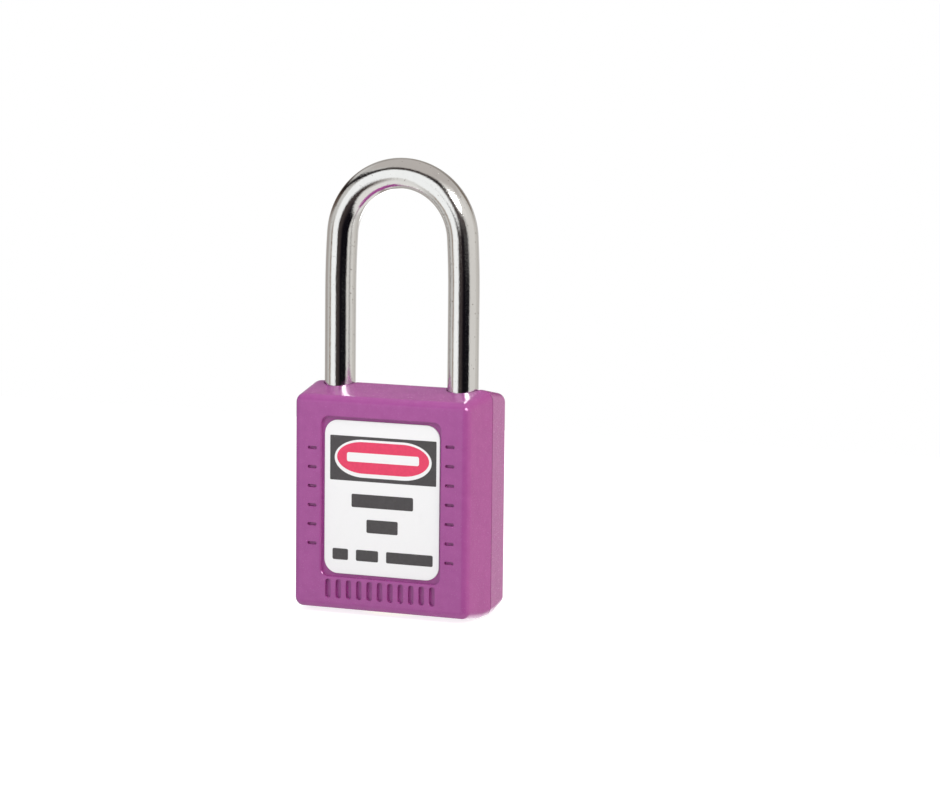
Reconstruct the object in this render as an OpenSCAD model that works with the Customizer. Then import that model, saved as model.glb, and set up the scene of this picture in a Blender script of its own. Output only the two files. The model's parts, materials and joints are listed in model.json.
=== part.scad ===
// Safety lockout padlock: a moulded plastic body on a steel shackle, with a six-pin cylinder inside.
// Millimetres. +X runs across the front, -Y is the front, +Z is up, and the origin lies under the
// middle of the body. The lock is stored closed, with its plug turned to the unlocked position.

/* [Body] */
// Width of the body across its parting ridge
body_w = 38.7; // [37.7:0.1:46]
// Height of the body
body_h = 44.4; // [43.5:0.1:60]
// Depth of the body from front face to back face
body_d = 19.6; // [19:0.1:26]
// How far each side leans in from the ridge to the flat faces
side_draft = 0.85; // [0.2:0.05:1.6]
// How far the top leans down from the ridge to the flat faces
top_draft = 1.5; // [0.5:0.1:3]
// How far the bottom leans up from the ridge to the flat faces
base_draft = 0.75; // [0.2:0.01:1.4]
// Rounding of the front and back edges
edge_r = 1.8; // [0.8:0.1:2.2]
// Radius of the upper corners of the ridge, seen from the front
ridge_corner_r = 2.4; // [1.6:0.1:3]
// Radius of the lower corners of the ridge, seen from the front
foot_corner_r = 1.9; // [1.2:0.1:3]
// How much rounder the corners of the flat faces are than their edges
corner_extra = 0.1; // [0:0.1:1]
// Width of the flat witness line along the ridge
ridge_flat = 0.16; // [0.1:0.02:0.4]
// Depth of the flat strip that the body stands on
foot_d = 6; // [4:0.5:8]

/* [Shackle] */
// Diameter of the shackle wire
wire_d = 6.1; // [5.6:0.05:6.5]
// Clear width between the legs
loop_gap = 20; // [19:0.1:24]
// Clear height from the top of the body to the inside of the arch
loop_clear = 38.2; // [30:0.1:80]
// Clearance round each leg in its hole
leg_fit = 0.14; // [0.04:0.01:0.2]
// Rounding of the lip of each leg hole
lip_r = 0.5; // [0.2:0.05:0.8]
// How far the short leg reaches below the middle of its ball notch
toe_reach = 4.5; // [4:0.1:6]
// How far the short leg rises clear of the body when the shackle is lifted
toe_rise = 0.8; // [0.3:0.1:3]
// Length of the head below the turned neck of the long leg
heel_head = 3.6; // [3:0.1:5]
// Chamfer on the end of each leg
leg_chamfer = 0.8; // [0.4:0.1:1]

/* [Locking balls and cam] */
// Diameter of each locking ball
ball_d = 5.2; // [4.8:0.1:5.4]
// Clearance round each ball in its passage
ball_fit = 0.06; // [0.04:0.01:0.1]
// How far a ball bites into a leg when the lock is locked
ball_bite = 1.3; // [1:0.05:1.5]
// How far the ball at the long leg still stands in its path when unlocked
heel_catch = 0.6; // [0.4:0.05:0.8]
// Clearance of the notches, neck and flat round a ball
notch_fit = 0.1; // [0.08:0.01:0.2]
// Depth of the ball passage below the top of the body
ball_depth = 9; // [8.5:0.1:10]
// Gap between the cam and the balls
cam_gap = 0.1; // [0.09:0.01:0.14]
// Height of the cam's lobes
cam_h = 6; // [5:0.1:6.4]
// Turn of the plug between unlocked and locked, in degrees
lock_turn = 90; // [90:90:90]

/* [Cylinder] */
// Number of pin chambers
pin_count = 6; // [6:1:6]
// Distance from one chamber to the next
pin_pitch = 3.1; // [2.9:0.05:3.3]
// Diameter of the pins
pin_d = 2.6; // [2.2:0.05:2.7]
// Clearance round each pin in its chamber
pin_fit = 0.06; // [0.04:0.01:0.1]
// Diameter of the plug
plug_d = 9.5; // [9:0.1:9.8]
// Clearance of the plug in its bore
plug_fit = 0.05; // [0.03:0.01:0.1]
// Length of each driver pin
driver_len = 3.6; // [3.2:0.1:4]
// Width of the keyway
keyway_w = 1.4; // [1.2:0.1:1.8]
// Outer radius of the cylinder housing round the plug
barrel_r = 7; // [6.8:0.1:7.1]
// Thickness of the chamber stack of the housing
stack_t = 6.4; // [5.6:0.1:7]
// How far the cylinder's face lies up inside the body
cylinder_inset = 0.9; // [0.9:0.1:1.3]
// Clearance of the housing in the body
housing_fit = 0.1; // [0.05:0.01:0.15]

/* [Label] */
// Width of the label
label_w = 24.4; // [20:0.1:26]
// Height of the label
label_h = 30.2; // [24:0.1:32]
// Gap between the label and the sides of its recess
label_side_gap = 0.4; // [0.2:0.05:1]
// Gap between the label and the ends of its recess
label_end_gap = 0.65; // [0.2:0.05:1.2]
// Distance from the top of the body down to the label
label_drop = 6.3; // [5:0.05:8]
// Corner radius of the label
label_r = 2.8; // [1:0.1:4]
// Thickness of the label
label_t = 0.3; // [0.2:0.05:0.5]
// Corner radius of the recess that holds the label
recess_r = 1.5; // [1:0.1:3]
// Depth of the recess
recess_depth = 0.9; // [0.6:0.05:1]

/* [Hidden] */

// A sliver added to a cut so that it passes right through a face
cut = 0.02;
// How far a cut runs past open faces
over = 1;
// Fineness of round surfaces that are true curves
round_fn = 96;
// Fineness of the rounded edges of the moulded shell
shell_fn = 32;

// Shackle, worked out from its wire and its gap
wire_r = wire_d / 2;
leg_x = loop_gap / 2 + wire_r;
leg_inner = loop_gap / 2;
hole_r = wire_r + leg_fit;
arch_z = body_h + loop_clear - loop_gap / 2;
ball_z = body_h - ball_depth;
toe_end = ball_z - toe_reach;
lift = body_h - toe_end + toe_rise;

// Balls and cam, worked out from the legs
ball_r = ball_d / 2;
ball_play = 0.05;
toe_ball_x = leg_inner - ball_play - ball_r;
toe_stroke = ball_bite + ball_play;
locked_ball_x = toe_ball_x + toe_stroke;
heel_stroke = ball_bite - heel_catch;
heel_ball_x = locked_ball_x - heel_stroke;
cam_toe_r = toe_ball_x - ball_r - cam_gap;
cam_heel_r = heel_ball_x - ball_r - cam_gap;
cam_max_r = locked_ball_x - ball_r - cam_gap;
cam_room = 0.4;
cam_room_r = cam_max_r + cam_room;
cam_bottom = ball_z - cam_h / 2;
cam_top = ball_z + cam_h / 2;
cam_dwell = 8;
cam_step = 6;

// Long leg: neck, flat and head below the notch
groove_r = ball_r + notch_fit;
neck_z = ball_z - lift;
neck_half = sqrt(pow(groove_r, 2) - pow(ball_r - ball_bite, 2));
heel_end = neck_z - neck_half - heel_head;
flat_x = leg_inner + heel_catch + notch_fit;
hole_floor_gap = 0.5;

// Screw that holds the cylinder, reached through the short leg's hole
screw_head_r = 2.5;
screw_head_h = 1.2;
screw_r = 1.4;
screw_bite = 2.5;
screw_fit = 0.04;
screw_tip_gap = 0.2;
screw_socket = 2;
screw_socket_depth = 0.8;
toe_floor = toe_end - hole_floor_gap;
stack_wall = 0.75;
stack_reach = leg_x + screw_r + stack_wall;

// Cylinder: chambers, plug and housing
plug_r = plug_d / 2;
bore_r = plug_r + plug_fit;
pin_r = pin_d / 2;
chamber_r = pin_r + pin_fit;
face_z = cylinder_inset;
flange_lip = 1.15;
flange_r = plug_r + flange_lip;
flange_t = 1.2;
chamber_wall = 0.6;
first_pin_z = face_z + flange_t + plug_fit + chamber_wall + chamber_r;
function pin_z(i) = first_pin_z + (i - 1) * pin_pitch;
pins_top = pin_z(pin_count) + chamber_r;
tap_floor_wall = 0.2;
housing_top = pins_top + tap_floor_wall + screw_tip_gap + screw_bite;
shear_gap = 0.05;
driver_x = bore_r + shear_gap;
key_pin_top = plug_r - shear_gap;
key_pin_len = [3.2, 4.0, 3.6, 4.4, 3.4, 3.9];
chamber_seat = -0.6;
pin_point = 0.5;
pin_chamfer = 0.25;
spool_len = 1.2;
spool_waist = 0.35;
spool_slope = 0.2;
spool_r = pin_r - spool_waist;
cover_t = 0.8;
cover_w = 3.8;
cover_inset = 0.1;
cover_fit = 0.03;
cover_lap = 0.5;
cover_lip = 0.4;
cover_x = stack_reach - cover_inset - cover_t;
cover_bottom = pin_z(1) - chamber_r - cover_lap;
cover_h = pin_z(pin_count) + chamber_r + cover_lap - cover_bottom;
spring_x = driver_x + driver_len;
spring_len = cover_x - spring_x;
spring_end_gap = 0.04;
spring_wire_r = 0.17;
spring_coils = 5.5;
spring_mean_r = pin_r - spring_wire_r - spring_end_gap;
spring_sides = 6;
spring_steps = 10;

// Plug: tail and clip
clip_t = 0.6;
clip_play = 0.06;
clip_z = housing_top + clip_play;
clip_bite = 0.65;
clip_lip = 1;
clip_groove_r = plug_r - clip_bite;
clip_out_r = plug_r + clip_lip;
clip_opening = 70;
groove_land = 0.9;
plug_top = clip_z + clip_t + groove_land;
tail_w = 3.4;
tail_fit = 0.04;
tail_short = 0.3;
hub_r = 4.2;
hub_gap = 0.05;

// Keyway: a slot with a step on one side, as wide as a key's blade
keyway_floor = -4.0;
keyway_roof = 3.3;
keyway_step_low = -1.6;
keyway_step_high = 0.4;
keyway_step = 0.55;
keyway_over = 0.4;
keyway_top = pins_top + keyway_over;

// Label and its recess
recess_w = label_w + 2 * label_side_gap;
recess_h = label_h + 2 * label_end_gap;
label_z = body_h - label_drop - label_h / 2;

// Marks cut into the front face: two columns beside the recess and a row of ribs below it
mark_w = 1.9;
mark_h = 0.6;
mark_depth = 0.6;
mark_pitch = 3.76;
mark_offset = 1.9;
mark_x = recess_w / 2 + mark_offset;
left_marks = 6;
right_marks = 7;
rib_count = 11;
rib_w = 1.15;
rib_h = 3.7;
rib_pitch = 2.2;
rib_drop = 0.5;
rib_z = label_z - recess_h / 2 - rib_drop - rib_h / 2;
rib_depth = 0.7;

// Flat outlines

// A rectangle with round corners, centred on the origin
module rounded_rect(w, h, r) {
    square([w - 2 * r, h], center = true);
    square([w, h - 2 * r], center = true);
    for (x = [-1, 1], y = [-1, 1])
        translate([x * (w / 2 - r), y * (h / 2 - r)])
            circle(r = r, $fn = round_fn / 2);
}

// Outline of the cylinder housing: a round barrel with the chamber stack on its right
module housing_outline(grow) {
    circle(r = barrel_r + grow, $fn = round_fn);
    translate([0, -stack_t / 2 - grow])
        square([stack_reach + grow, stack_t + 2 * grow]);
}

// Body of the lock

// One rounded corner of a flat face, at x to the side and z up, on the front (-1) or back (1)
module face_corner(side, up, face) {
    corner_r = edge_r + corner_extra;
    x = body_w / 2 - side_draft - corner_r;
    z = up > 0 ? body_h - top_draft - corner_r : base_draft + corner_r;
    translate([side * x, face * (body_d / 2 - edge_r), z])
        rotate([90, 0, 0])
            rotate_extrude($fn = shell_fn)
                translate([corner_extra, 0])
                    intersection() {
                        circle(r = edge_r, $fn = shell_fn);
                        translate([0, -edge_r])
                            square([edge_r, 2 * edge_r]);
                    }
}

// One rounded corner of the ridge that runs round the body at mid depth
module ridge_corner(side, up) {
    r = up > 0 ? ridge_corner_r : foot_corner_r;
    z = up > 0 ? body_h - r : r;
    translate([side * (body_w / 2 - r), 0, z])
        rotate([90, 0, 0])
            cylinder(h = ridge_flat, r = r, center = true, $fn = 2 * shell_fn);
}

// The outside of the moulding: widest at its ridge, drafted to both flat faces
module body_form() {
    foot_w = body_w - 2 * foot_corner_r;
    hull() {
        for (side = [-1, 1], up = [-1, 1]) {
            ridge_corner(side, up);
            for (face = [-1, 1])
                face_corner(side, up, face);
        }
        translate([-foot_w / 2, -foot_d / 2, 0])
            cube([foot_w, foot_d, foot_corner_r]);
    }
}

// A hole for a shackle leg, with a rounded lip
module leg_hole(x, floor_z) {
    translate([x, 0, floor_z])
        cylinder(h = body_h - floor_z + over, r = hole_r, $fn = round_fn);
    translate([x, 0, body_h - lip_r])
        rotate_extrude($fn = round_fn)
            difference() {
                square([hole_r + lip_r, lip_r + over]);
                translate([hole_r + lip_r, 0])
                    circle(r = lip_r, $fn = round_fn);
            }
}

// The recess for a label, on the front (-1) or back (1)
module label_recess(face) {
    translate([0, face * (body_d / 2 - recess_depth / 2 + cut / 2), label_z])
        rotate([90, 0, 0])
            linear_extrude(height = recess_depth + cut, center = true)
                rounded_rect(recess_w, recess_h, recess_r);
}

// One shallow mark in the front face
module face_mark(x, z, w, h, depth) {
    r = min(w, h) / 2 - cut;
    translate([x, -body_d / 2 + depth / 2 - cut / 2, z])
        rotate([90, 0, 0])
            linear_extrude(height = depth + cut, center = true)
                rounded_rect(w, h, r);
}

// A column of marks, centred on the height of the label
module mark_column(x, count) {
    for (i = [0:count - 1])
        face_mark(x, label_z + (i - (count - 1) / 2) * mark_pitch, mark_w, mark_h, mark_depth);
}

// The row of grip ribs below the label
module rib_row() {
    for (i = [0:rib_count - 1])
        face_mark((i - (rib_count - 1) / 2) * rib_pitch, rib_z, rib_w, rib_h, rib_depth);
}

module body_shell() {
    color("#AA5C9B")
        difference() {
            body_form();
            leg_hole(-leg_x, heel_end - hole_floor_gap);
            leg_hole(leg_x, toe_floor);
            // Room for the housing, open at the bottom
            translate([0, 0, -over])
                linear_extrude(height = housing_top + housing_fit + over)
                    housing_outline(housing_fit);
            // Room for the cam and the plug's clip
            cylinder(h = cam_top + cam_room, r = cam_room_r, $fn = round_fn);
            // Passage for the two balls
            translate([-leg_x, 0, ball_z])
                rotate([0, 90, 0])
                    cylinder(h = 2 * leg_x, r = ball_r + ball_fit, $fn = round_fn);
            // Seat and hole of the cylinder screw
            translate([leg_x, 0, toe_floor - screw_head_h - screw_fit])
                cylinder(h = screw_head_h + over, r = screw_head_r + screw_fit, $fn = round_fn);
            translate([leg_x, 0, housing_top - over])
                cylinder(h = toe_floor - housing_top + over, r = screw_r + screw_fit, $fn = round_fn);
            label_recess(-1);
            label_recess(1);
            mark_column(-mark_x, left_marks);
            mark_column(mark_x, right_marks);
            rib_row();
        }
}

module front_label() {
    color("#F3F3F3")
        translate([0, -body_d / 2 + recess_depth - label_t / 2, label_z])
            rotate([90, 0, 0])
                linear_extrude(height = label_t, center = true)
                    rounded_rect(label_w, label_h, label_r);
}

// Shackle

// One straight leg, chamfered at its lower end
module leg(x, end_z) {
    translate([x, 0, end_z])
        cylinder(h = leg_chamfer, r1 = wire_r - leg_chamfer, r2 = wire_r, $fn = round_fn);
    translate([x, 0, end_z + leg_chamfer])
        cylinder(h = arch_z - end_z - leg_chamfer, r = wire_r, $fn = round_fn);
}

// The notch that a ball fills when the lock is locked, cut across a leg's inner side
module ball_notch(side) {
    translate([side * locked_ball_x, 0, ball_z])
        rotate([90, 0, 0])
            cylinder(h = wire_d + over, r = groove_r, center = true, $fn = round_fn);
}

// The neck turned all the way round the long leg, which lets the lifted shackle swing
module heel_neck() {
    ball_distance = leg_x - locked_ball_x;
    translate([-leg_x, 0, neck_z])
        rotate_extrude($fn = round_fn)
            translate([ball_distance, 0])
                intersection() {
                    circle(r = groove_r, $fn = round_fn);
                    translate([-groove_r, -groove_r])
                        square([groove_r, 2 * groove_r]);
                }
}

// The long flat on the inner side of the long leg, which slides past the ball
module heel_flat() {
    translate([-flat_x, -wire_r - over, neck_z])
        cube([flat_x, wire_d + 2 * over, ball_z - neck_z]);
}

module shackle() {
    color("#D9D9DC")
        difference() {
            union() {
                leg(leg_x, toe_end);
                leg(-leg_x, heel_end);
                translate([0, 0, arch_z])
                    rotate([90, 0, 0])
                        rotate_extrude(angle = 180, $fn = round_fn)
                            translate([leg_x, 0])
                                circle(r = wire_r, $fn = round_fn);
            }
            ball_notch(1);
            ball_notch(-1);
            heel_neck();
            heel_flat();
        }
}

// Cylinder

// A hole along +X at one of the chambers, from one distance to another
module along_x(z, x1, x2, r) {
    translate([x1, 0, z])
        rotate([0, 90, 0])
            cylinder(h = x2 - x1, r = r, $fn = round_fn / 2);
}

module cylinder_housing() {
    color("#C9A24B")
        difference() {
            translate([0, 0, face_z])
                linear_extrude(height = housing_top - face_z)
                    housing_outline(0);
            translate([0, 0, face_z - cut])
                cylinder(h = housing_top - face_z + 2 * cut, r = bore_r, $fn = round_fn);
            // Counterbore for the plug's flange
            translate([0, 0, face_z - cut])
                cylinder(h = flange_t + plug_fit + cut, r = flange_r + plug_fit, $fn = round_fn);
            for (i = [1:pin_count])
                along_x(pin_z(i), 0, cover_x + cut, chamber_r);
            // Slot for the strip that closes the chambers
            translate([cover_x - cover_fit, -cover_w / 2 - cover_fit, cover_bottom - cover_fit])
                cube([cover_t + 2 * cover_fit, cover_w + 2 * cover_fit, cover_h + 2 * cover_fit]);
            // Open side of that slot
            translate([cover_x, -cover_w / 2 + cover_lip, cover_bottom + cover_lip])
                cube([stack_reach, cover_w - 2 * cover_lip, cover_h - 2 * cover_lip]);
            // Tapped hole of the cylinder screw
            translate([leg_x, 0, housing_top - screw_bite - screw_tip_gap])
                cylinder(h = screw_bite + screw_tip_gap + cut, r = screw_r + screw_fit, $fn = round_fn);
        }
}

module chamber_cover() {
    color("#B9BBBE")
        translate([cover_x, -cover_w / 2, cover_bottom])
            cube([cover_t, cover_w, cover_h]);
}

module cylinder_screw() {
    shank = toe_floor - screw_head_h - housing_top + screw_bite;
    color("#7F8287")
        difference() {
            union() {
                translate([leg_x, 0, toe_floor - screw_head_h])
                    cylinder(h = screw_head_h, r = screw_head_r, $fn = round_fn);
                translate([leg_x, 0, housing_top - screw_bite])
                    cylinder(h = shank, r = screw_r, $fn = round_fn);
            }
            translate([leg_x, 0, toe_floor - screw_socket_depth])
                cylinder(h = screw_head_h, r = screw_socket / sqrt(3), $fn = 6);
        }
}

// Outline of the keyway across the plug: a slot with one step to the side
module keyway_outline() {
    polygon([
        [-keyway_w / 2, keyway_floor],
        [keyway_w / 2, keyway_floor],
        [keyway_w / 2, keyway_step_low],
        [keyway_w / 2 + keyway_step, keyway_step_low],
        [keyway_w / 2 + keyway_step, keyway_step_high],
        [keyway_w / 2, keyway_step_high],
        [keyway_w / 2, keyway_roof],
        [-keyway_w / 2, keyway_roof],
        [-keyway_w / 2, keyway_step_high],
        [-keyway_w / 2 + keyway_step, keyway_step_high],
        [-keyway_w / 2 + keyway_step, keyway_step_low],
        [-keyway_w / 2, keyway_step_low]
    ]);
}

module plug() {
    color("#D8B45A")
        difference() {
            union() {
                translate([0, 0, face_z])
                    cylinder(h = flange_t, r = flange_r, $fn = round_fn);
                translate([0, 0, face_z])
                    cylinder(h = plug_top - face_z, r = plug_r, $fn = round_fn);
                translate([-tail_w / 2, -tail_w / 2, plug_top - cut])
                    cube([tail_w, tail_w, cam_top - tail_short - plug_top + cut]);
            }
            translate([0, 0, face_z - cut])
                linear_extrude(height = keyway_top - face_z + cut)
                    keyway_outline();
            // Chambers for the key pins
            for (i = [1:pin_count])
                translate([0, chamber_seat, pin_z(i)])
                    rotate([-90, 0, 0])
                        cylinder(h = plug_r + over - chamber_seat, r = chamber_r, $fn = round_fn / 2);
            // Groove for the clip
            translate([0, 0, clip_z - clip_play / 2])
                difference() {
                    cylinder(h = clip_t + clip_play, r = plug_r + over, $fn = round_fn);
                    translate([0, 0, -over])
                        cylinder(h = clip_t + 3 * over, r = clip_groove_r, $fn = round_fn);
                }
        }
}

// Open ring in the plug's groove, which holds the plug down in the housing
module plug_clip() {
    color("#A9ABB0")
        translate([0, 0, clip_z])
            rotate([0, 0, 90 + clip_opening / 2])
                rotate_extrude(angle = 360 - clip_opening, $fn = round_fn)
                    translate([clip_groove_r + plug_fit, 0])
                        square([clip_out_r - clip_groove_r - plug_fit, clip_t]);
}

// Distance of the cam's edge from its axis at one angle, in degrees from +X.
// The edge rises evenly while a ball rides on it, and eases back between the balls' stretches.
function ease(t) = (1 - cos(180 * max(0, min(1, t)))) / 2;
function cam_edge(a) =
    a <= 90 ? cam_toe_r + toe_stroke * a / lock_turn :
    a <= 180 ? cam_max_r - heel_stroke * ease((a - 90 - cam_dwell) / (90 - 2 * cam_dwell)) :
    a <= 270 ? cam_heel_r + heel_stroke * (a - 180) / lock_turn :
    cam_max_r - toe_stroke * ease((a - 270 - cam_dwell) / (90 - 2 * cam_dwell));

module cam() {
    color("#8E9196")
        difference() {
            union() {
                translate([0, 0, cam_bottom])
                    linear_extrude(height = cam_h)
                        polygon([for (a = [0:cam_step:360 - cam_step]) cam_edge(a) * [cos(a), sin(a)]]);
                translate([0, 0, plug_top + hub_gap])
                    cylinder(h = cam_bottom - plug_top - hub_gap + cut, r = hub_r, $fn = round_fn);
            }
            translate([-tail_w / 2 - tail_fit, -tail_w / 2 - tail_fit, plug_top])
                cube([tail_w + 2 * tail_fit, tail_w + 2 * tail_fit, cam_top - plug_top + over]);
        }
}

module ball(x) {
    color("#D5D7DA")
        translate([x, 0, ball_z])
            sphere(r = ball_r, $fn = round_fn);
}

module toe_ball() {
    ball(toe_ball_x);
}

module heel_ball() {
    ball(-heel_ball_x);
}

// Pins and springs

// A key pin along +Y: pointed towards the key, chamfered at the shear line
module key_pin(i) {
    len = key_pin_len[(i - 1) % 6];
    low = key_pin_top - len;
    color("#E0BE6A")
        translate([0, 0, pin_z(i)])
            rotate([-90, 0, 0])
                rotate_extrude($fn = round_fn / 2)
                    polygon([
                        [0, low],
                        [pin_r - 2 * pin_point, low],
                        [pin_r, low + pin_point],
                        [pin_r, key_pin_top - pin_chamfer],
                        [pin_r - pin_chamfer, key_pin_top],
                        [0, key_pin_top]
                    ]);
}

// A driver pin along +X, with the waist of a spool
module driver_pin(i) {
    mid = driver_x + driver_len / 2;
    color("#C8CACD")
        translate([0, 0, pin_z(i)])
            rotate([0, 90, 0])
                rotate_extrude($fn = round_fn / 2)
                    polygon([
                        [0, driver_x],
                        [pin_r - pin_chamfer, driver_x],
                        [pin_r, driver_x + pin_chamfer],
                        [pin_r, mid - spool_len / 2],
                        [spool_r, mid - spool_len / 2 + spool_slope],
                        [spool_r, mid + spool_len / 2 - spool_slope],
                        [pin_r, mid + spool_len / 2],
                        [pin_r, driver_x + driver_len - pin_chamfer],
                        [pin_r - pin_chamfer, driver_x + driver_len],
                        [0, driver_x + driver_len]
                    ]);
}

// One ring of a spring's wire, at turn angle a (degrees)
function spring_ring(a, x) = [
    for (k = [0:spring_sides - 1])
        let (w = 360 * k / spring_sides, r = spring_mean_r + spring_wire_r * cos(w))
            [x + spring_wire_r * sin(w), r * cos(a), r * sin(a)]
];

// The wire of a coil spring, swept along its helix
module pin_spring(i) {
    rings = round(spring_coils * spring_steps);
    start = spring_x + spring_wire_r + spring_end_gap;
    run = spring_len - 2 * spring_wire_r - 2 * spring_end_gap;
    n = spring_sides;
    points = [
        for (s = [0:rings])
            for (p = spring_ring(360 * s / spring_steps, start + run * s / rings))
                p
    ];
    sides = [
        for (s = [0:rings - 1], k = [0:n - 1])
            [s * n + k, s * n + (k + 1) % n, (s + 1) * n + (k + 1) % n, (s + 1) * n + k]
    ];
    first = [for (k = [0:n - 1]) n - 1 - k];
    last = [for (k = [0:n - 1]) rings * n + k];
    color("#B4B7BB")
        translate([0, 0, pin_z(i)])
            polyhedron(points = points, faces = concat([first], sides, [last]));
}

body_shell();
front_label();
shackle();
cylinder_housing();
chamber_cover();
cylinder_screw();
plug();
plug_clip();
cam();
toe_ball();
heel_ball();
for (i = [1:pin_count]) {
    key_pin(i);
    driver_pin(i);
    pin_spring(i);
}
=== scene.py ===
# %% [markdown]
# # A lockout padlock
# The padlock has a moulded plastic body, a white printed label in a recess, and a bright plated
# shackle. Its cylinder, locking balls, pins and springs come from the CAD model and are only given
# finishes here. The pieces that fill the picture are modelled again: smooth surfaces and small
# rounded edges are what makes plastic and plating look real.

# %% Load the fixed frame
import json
import math

import bmesh
import bpy
from mathutils import Matrix, Vector

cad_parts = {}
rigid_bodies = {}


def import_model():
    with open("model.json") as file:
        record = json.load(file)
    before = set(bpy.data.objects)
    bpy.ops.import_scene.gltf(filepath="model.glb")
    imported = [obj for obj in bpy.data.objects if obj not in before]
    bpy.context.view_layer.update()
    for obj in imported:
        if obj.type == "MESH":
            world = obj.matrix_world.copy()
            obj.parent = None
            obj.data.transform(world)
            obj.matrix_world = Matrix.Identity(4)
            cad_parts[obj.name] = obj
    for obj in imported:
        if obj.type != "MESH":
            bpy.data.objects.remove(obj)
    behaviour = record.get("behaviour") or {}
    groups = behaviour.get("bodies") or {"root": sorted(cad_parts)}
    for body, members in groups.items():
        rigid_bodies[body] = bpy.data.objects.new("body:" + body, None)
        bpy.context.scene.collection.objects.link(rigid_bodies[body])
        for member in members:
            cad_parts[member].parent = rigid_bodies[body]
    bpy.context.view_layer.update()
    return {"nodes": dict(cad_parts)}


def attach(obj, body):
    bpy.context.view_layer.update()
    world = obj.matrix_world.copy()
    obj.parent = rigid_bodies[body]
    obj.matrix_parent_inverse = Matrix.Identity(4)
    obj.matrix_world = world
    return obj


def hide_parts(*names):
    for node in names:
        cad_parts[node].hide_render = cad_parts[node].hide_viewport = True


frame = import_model()
MM = 0.001

# %% [markdown]
# ## Camera
# The camera was fitted to the edges of the body and the shackle in the photograph. It stands to the
# right of the front and a little above the middle, and it is rolled by about half a degree. Such a
# camera could be turned with three angles, but its axes are built as vectors here, because the fit
# gives a turn, a rise and a roll one after the other, and vectors keep that order plain.

# %% Camera
VIEW_TURN = math.radians(22.21)
VIEW_RISE = math.radians(7.2)
VIEW_ROLL = math.radians(0.6)
LOOK_AT = Vector((0, 0, 0.040))
DISTANCE = 0.6508
SIDEWAYS, UPWARDS = 0.01350, 0.00259
FOCAL_PIXELS, PICTURE_WIDTH, SENSOR_MM = 3331.36, 940, 36

back = Vector((math.sin(VIEW_TURN) * math.cos(VIEW_RISE),
               -math.cos(VIEW_TURN) * math.cos(VIEW_RISE),
               math.sin(VIEW_RISE)))
level_right = Vector((math.cos(VIEW_TURN), math.sin(VIEW_TURN), 0))
level_up = back.cross(level_right)
right = level_right * math.cos(VIEW_ROLL) + level_up * math.sin(VIEW_ROLL)
up = -level_right * math.sin(VIEW_ROLL) + level_up * math.cos(VIEW_ROLL)

lens = bpy.data.cameras.new("studio_camera")
lens.sensor_width = SENSOR_MM
lens.lens = FOCAL_PIXELS * SENSOR_MM / PICTURE_WIDTH
lens.clip_start, lens.clip_end = 0.01, 20
camera = bpy.data.objects.new("studio_camera", lens)
bpy.context.collection.objects.link(camera)
camera.location = LOOK_AT + back * DISTANCE + right * SIDEWAYS + up * UPWARDS
camera.rotation_mode = "QUATERNION"
camera.rotation_quaternion = Matrix((right, up, back)).transposed().to_quaternion()
bpy.context.scene.camera = camera
bpy.context.scene.view_settings.view_transform = "Standard"
print("camera at", [round(c, 4) for c in camera.location])

# %% [markdown]
# ## Light
# Plating has no colour of its own: it shows the room. The stripes on the shackle tell what stood
# round the padlock: a large white softbox on the left under a dark frame, a dark studio behind the
# camera, pale walls, a warm ceiling and a strong lamp high on the right. Real lamps and panels could
# stand there, but here each is a card painted on the world by its direction, so its edge stays sharp
# and the render stays clean. Matt surfaces only need the sum of all that, so their rays meet a smooth
# light that grows stronger towards the right and the top. The camera itself sees plain white.

# %% An empty world, and helpers for its nodes
world = bpy.data.worlds.new("studio_room")
bpy.context.scene.world = world
world.use_nodes = True
world.cycles.sampling_method = "NONE"
room = world.node_tree
room.nodes.clear()


def add(tree, kind, sockets=(), **settings):
    """Adds a node, sets its properties, and fills its sockets with values or links."""
    node = tree.nodes.new(kind)
    for key, value in settings.items():
        setattr(node, key, value)
    for name, source in dict(sockets).items():
        if isinstance(source, bpy.types.NodeSocket):
            tree.links.new(source, node.inputs[name])
        else:
            node.inputs[name].default_value = source
    return node


def maths(tree, operation, *values):
    """A Math node; returns its result."""
    return add(tree, "ShaderNodeMath", enumerate(values), operation=operation).outputs[0]


def step(tree, value, low, high):
    """0 at low, 1 at high, smooth between."""
    return add(tree, "ShaderNodeMapRange", {"Value": value, "From Min": low, "From Max": high},
               interpolation_type="SMOOTHSTEP").outputs["Result"]


def tinted(tree, factor, one, other):
    """One colour where the factor is 0, the other where it is 1."""
    sources = {0: factor}
    for socket, colour in ((6, one), (7, other)):
        sources[socket] = colour if isinstance(colour, bpy.types.NodeSocket) else (*colour, 1)
    return add(tree, "ShaderNodeMix", sources, data_type="RGBA").outputs[2]


print("world:", world.name)

# %% Directions in the room, in degrees from the camera's own azimuth
direction = add(room, "ShaderNodeTexCoord").outputs["Generated"]
turned = add(room, "ShaderNodeVectorRotate", {"Vector": direction, "Angle": -VIEW_TURN},
             rotation_type="Z_AXIS").outputs["Vector"]
parts = add(room, "ShaderNodeSeparateXYZ", {"Vector": turned}).outputs
towards = maths(room, "MULTIPLY", parts["Y"], -1.0)
azimuth = maths(room, "DEGREES", maths(room, "ARCTAN2", parts["X"], towards))
elevation = maths(room, "DEGREES", maths(room, "ARCSINE", parts["Z"]))
print("nodes that find a direction:", len(room.nodes))


# %% One card, and the light behind a colour
PLATING_GIVES_BACK = 0.84


def between(value, low, high, soft):
    """1 between low and high, 0 outside, with an edge as wide as twice soft."""
    rising = step(room, value, low - soft, low + soft)
    falling = maths(room, "SUBTRACT", 1.0, step(room, value, high - soft, high + soft))
    return maths(room, "MULTIPLY", rising, falling)


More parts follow.
